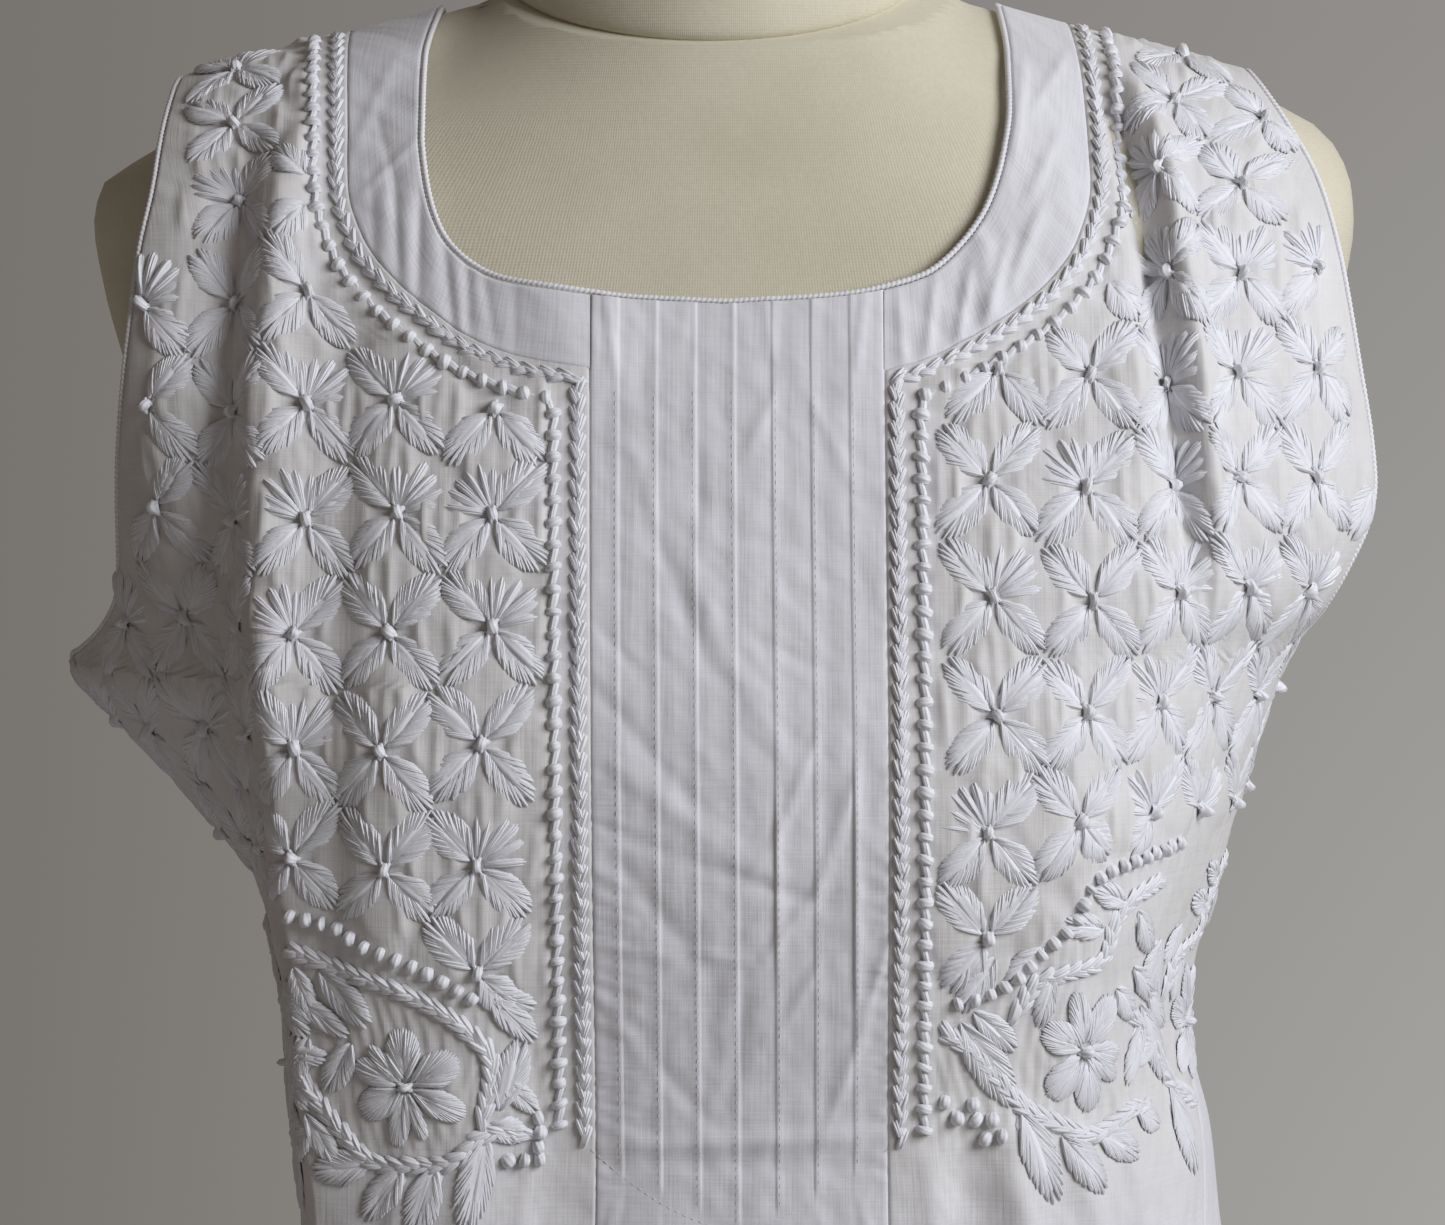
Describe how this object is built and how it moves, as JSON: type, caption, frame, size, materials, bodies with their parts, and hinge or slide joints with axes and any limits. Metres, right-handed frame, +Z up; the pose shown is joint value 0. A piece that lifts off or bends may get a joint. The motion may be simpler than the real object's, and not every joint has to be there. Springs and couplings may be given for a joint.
{
  "type": "sleeveless tunic on a dress form",
  "caption": "Sleeveless embroidered cotton tunic with a scooped neck band and a pintucked front, worn on a jersey dress form with a neck, a pole and a round base",
  "frame": {"origin": "the middle of the underside of the stand's base, on the floor", "axes": "+Z up along the pole, front of the tunic towards -Y, +X to the right of someone who faces it"},
  "size_m": [0.4664, 0.38, 1.4637],
  "materials": {
    "plain_cotton": "fine opaque white cotton, slightly cool",
    "embroidered_cotton": "thin white cotton with raised white embroidery",
    "binding_cotton": "narrow rolled cotton edge",
    "cream_jersey": "cream knitted cover stretched over the form",
    "painted_steel": "satin grey paint"
  },
  "bodies": {
    "root": {"front_left": "embroidered_cotton", "front_right": "embroidered_cotton", "front_centre": "plain_cotton", "back": "plain_cotton", "gore_left": "plain_cotton", "gore_right": "plain_cotton", "neck_band_left": "plain_cotton", "neck_band_right": "plain_cotton", "neck_band_back": "plain_cotton", "neck_binding": "binding_cotton", "armhole_binding_left": "binding_cotton", "armhole_binding_right": "binding_cotton", "form_torso": "cream_jersey", "form_neck": "cream_jersey", "stand_pole": "painted_steel", "stand_base": "painted_steel"}
  },
  "joints": []
}
